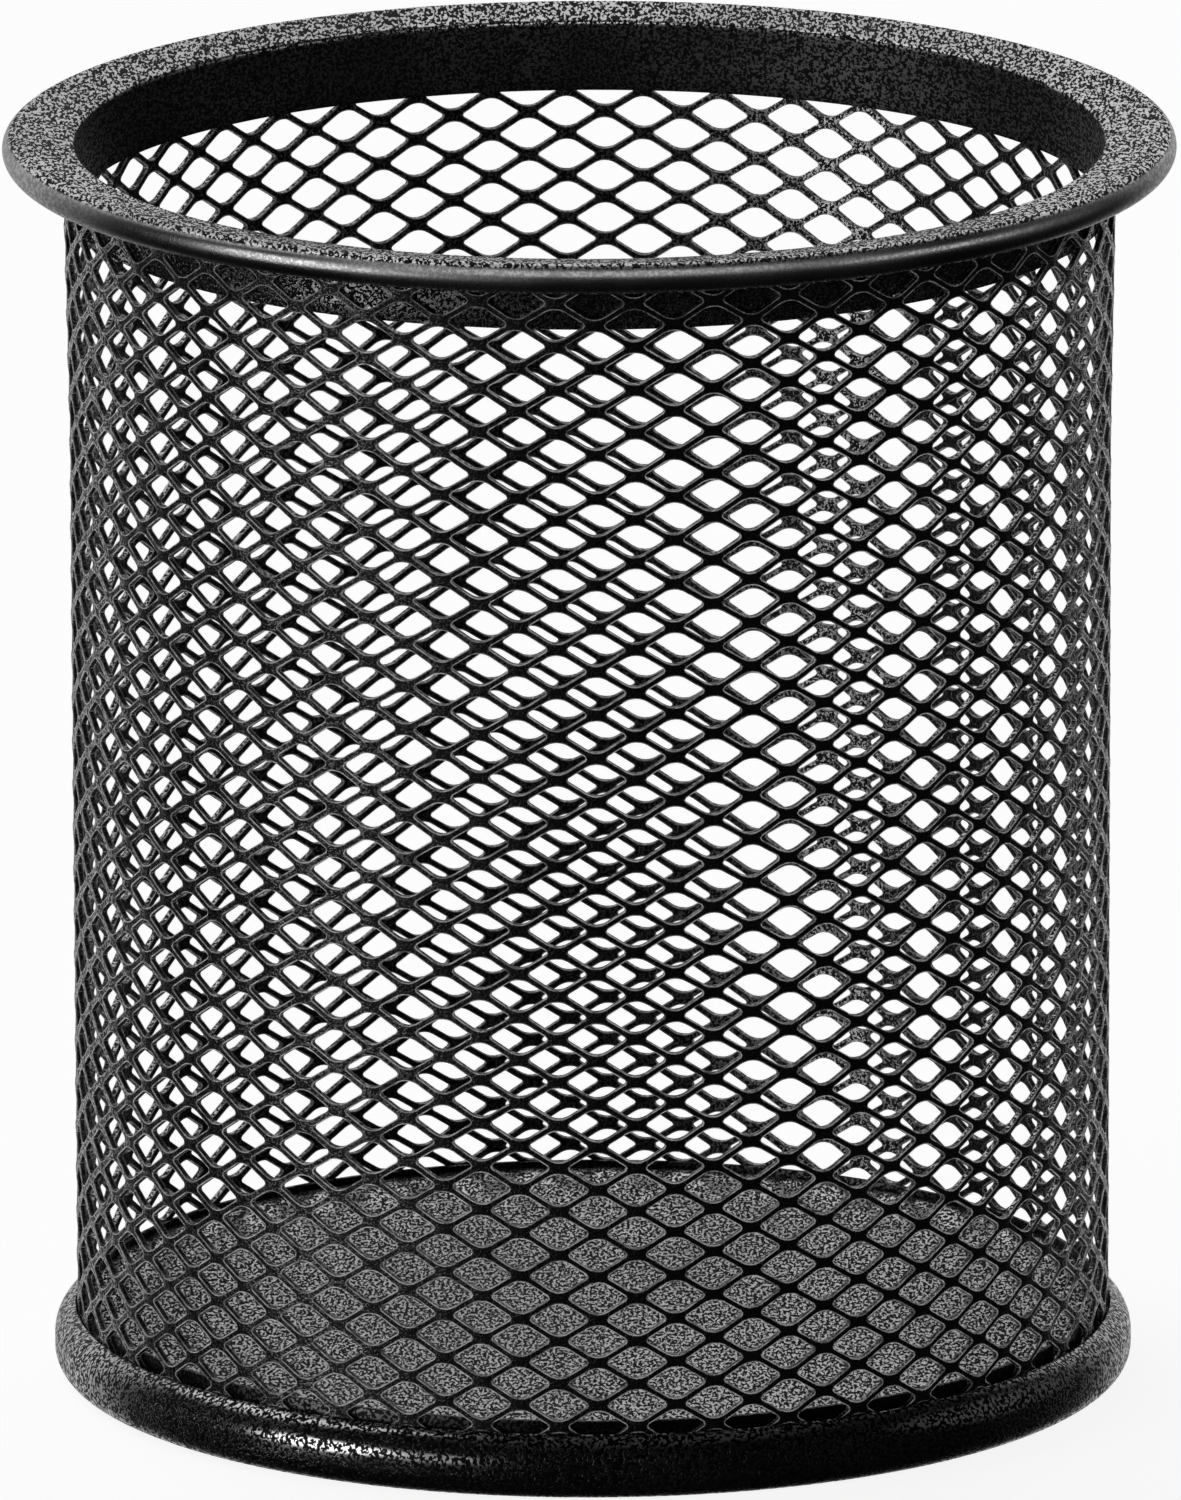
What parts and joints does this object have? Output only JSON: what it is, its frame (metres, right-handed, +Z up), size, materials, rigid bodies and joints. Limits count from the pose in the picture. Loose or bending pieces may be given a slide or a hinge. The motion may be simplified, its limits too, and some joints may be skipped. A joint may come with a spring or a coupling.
{
  "type": "pen holder cup",
  "caption": "Round mesh desk cup with a rolled rim, a rolled foot ring and a flat floor, for holding pens and pencils upright.",
  "frame": {"origin": "centre of the foot ring's underside, on the surface that the cup stands on", "axes": "+Z up along the cup's axis, towards the open rim"},
  "size_m": [0.0922, 0.0922, 0.1],
  "materials": {
    "rim_coat": "fine-textured black powder coat, satin",
    "mesh_coat": "black powder coat, satin",
    "foot_coat": "black powder coat, semi-gloss",
    "floor_coat": "fine-textured black powder coat, satin"
  },
  "bodies": {
    "root": {"top_rim": "rim_coat", "mesh_wall": "mesh_coat", "base_ring": "foot_coat", "base_plate": "floor_coat"}
  },
  "joints": []
}
